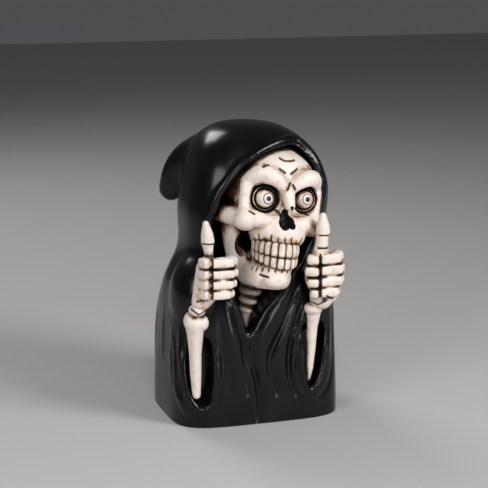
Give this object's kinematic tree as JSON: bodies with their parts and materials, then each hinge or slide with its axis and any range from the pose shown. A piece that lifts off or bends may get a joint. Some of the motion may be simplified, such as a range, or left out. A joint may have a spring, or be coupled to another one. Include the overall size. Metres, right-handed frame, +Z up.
{
  "type": "grim reaper figurine",
  "caption": "Painted resin figurine of a hooded grim reaper: a skull with round eyeballs looks out of the hood, and bony fists hold raised thumbs.",
  "frame": {"origin": "centre of the flat underside", "axes": "+Z up, the figure looks along -Y, its own left arm is at +X"},
  "size_m": [0.0715, 0.0717, 0.1197],
  "materials": {
    "painted_resin": "cast resin painted gloss black, its bones brushed ivory over a dark wash"
  },
  "bodies": {
    "root": {"grim_reaper_figurine": "painted_resin"}
  },
  "joints": []
}
